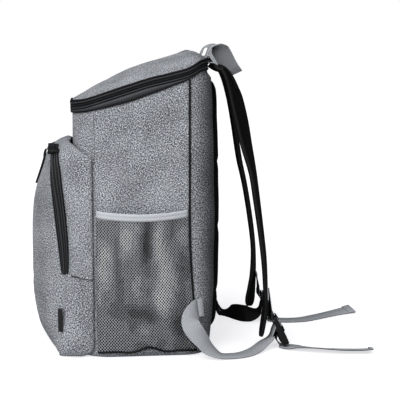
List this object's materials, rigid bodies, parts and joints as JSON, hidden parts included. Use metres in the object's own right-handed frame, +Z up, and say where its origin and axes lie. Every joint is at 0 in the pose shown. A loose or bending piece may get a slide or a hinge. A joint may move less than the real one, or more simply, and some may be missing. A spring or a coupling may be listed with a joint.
{
  "type": "picnic cooler backpack",
  "caption": "Tall soft cooler backpack with a sloping domed lid, rounded front pocket, net side pockets, padded back and shoulder straps with trailing webbing.",
  "frame": {"origin": "on the floor, under the middle of the main body", "axes": "front towards -Y, back and shoulder straps towards +Y, width along X, +Z up"},
  "size_m": [0.3319, 0.494, 0.4224],
  "materials": {
    "cloth": "heather grey woven polyester",
    "black_tape": "woven zip tape",
    "net": "knitted diamond net",
    "webbing": "ribbed webbing",
    "padding": "matt padded air mesh",
    "black_plastic": "satin moulded"
  },
  "bodies": {
    "root": {"body_shell": "cloth", "lid_panel": "cloth", "lid_tape_upper": "black_tape", "lid_tape_lower": "black_tape", "lid_zip_pull": "black_plastic", "pocket_gusset": "cloth", "pocket_panel": "cloth", "pocket_zip": "black_tape", "pocket_zip_pull": "black_plastic", "mesh_pocket_left": "net", "mesh_pocket_right": "net", "mesh_binding_left": "webbing", "mesh_binding_right": "webbing", "side_piping_left": "black_tape", "side_piping_right": "black_tape", "back_panel": "padding", "shoulder_strap_left": "padding", "shoulder_strap_right": "padding", "strap_webbing_left": "webbing", "strap_webbing_right": "webbing", "strap_loop_left": "webbing", "strap_loop_right": "webbing", "ladder_lock_left": "black_plastic", "ladder_lock_right": "black_plastic", "lower_webbing_left": "webbing", "lower_webbing_right": "webbing", "webbing_tail_left": "webbing", "webbing_tail_right": "webbing", "carry_handle": "webbing", "side_label": "black_tape"}
  },
  "joints": []
}
